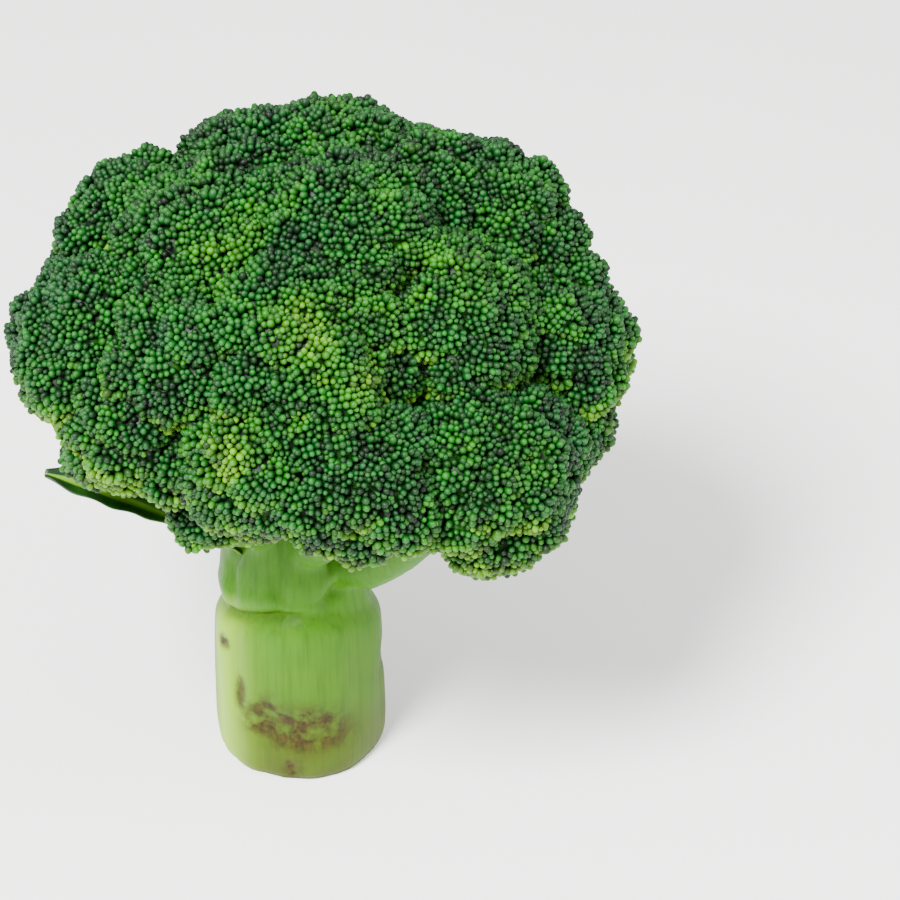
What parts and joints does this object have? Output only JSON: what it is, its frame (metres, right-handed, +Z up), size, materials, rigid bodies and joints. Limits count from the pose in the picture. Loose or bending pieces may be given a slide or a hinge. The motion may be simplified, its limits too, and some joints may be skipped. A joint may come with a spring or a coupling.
{
  "type": "broccoli head",
  "caption": "Head of broccoli on a thick cut stem, with a crown of tight domes of small green flower buds on side branches and a narrow leaf under the rim.",
  "frame": {"origin": "centre of the stem's cut face, on which the head stands", "axes": "+Z up along the stem to the crown's top; -Z is the cut face's outward normal; -Y is the front, +X is to the right seen from the front"},
  "size_m": [0.1575, 0.1492, 0.182],
  "materials": {
    "stem": "satin",
    "branch": "satin",
    "flower_buds": "matte",
    "leaf": "satin"
  },
  "bodies": {
    "root": {"stem": "stem", "branch_front_centre": "branch", "branch_front_right_low": "branch", "branch_front_low": "branch", "branch_front_low_left": "branch", "branch_front_inner_left": "branch", "branch_hanging": "branch", "branch_left_front": "branch", "branch_left_front_low": "branch", "branch_left_rim_low": "branch", "branch_left": "branch", "branch_left_upper": "branch", "branch_left_back_upper": "branch", "branch_left_back": "branch", "branch_right_front": "branch", "branch_right": "branch", "branch_right_low": "branch", "branch_right_upper": "branch", "branch_right_back_upper": "branch", "branch_right_back": "branch", "branch_top": "branch", "branch_top_back_left": "branch", "branch_top_back_right": "branch", "branch_back_upper_left": "branch", "branch_back_upper_right": "branch", "branch_back_left": "branch", "branch_back_right": "branch", "branch_back": "branch", "floret_front_centre": "flower_buds", "floret_front_right_low": "flower_buds", "floret_front_low": "flower_buds", "floret_front_low_left": "flower_buds", "floret_front_inner_left": "flower_buds", "floret_hanging": "flower_buds", "floret_left_front": "flower_buds", "floret_left_front_low": "flower_buds", "floret_left_rim_low": "flower_buds", "floret_left": "flower_buds", "floret_left_upper": "flower_buds", "floret_left_back_upper": "flower_buds", "floret_left_back": "flower_buds", "floret_right_front": "flower_buds", "floret_right": "flower_buds", "floret_right_low": "flower_buds", "floret_right_upper": "flower_buds", "floret_right_back_upper": "flower_buds", "floret_right_back": "flower_buds", "floret_top": "flower_buds", "floret_top_back_left": "flower_buds", "floret_top_back_right": "flower_buds", "floret_back_upper_left": "flower_buds", "floret_back_upper_right": "flower_buds", "floret_back_left": "flower_buds", "floret_back_right": "flower_buds", "floret_back": "flower_buds", "leaf_left": "leaf"}
  },
  "joints": []
}
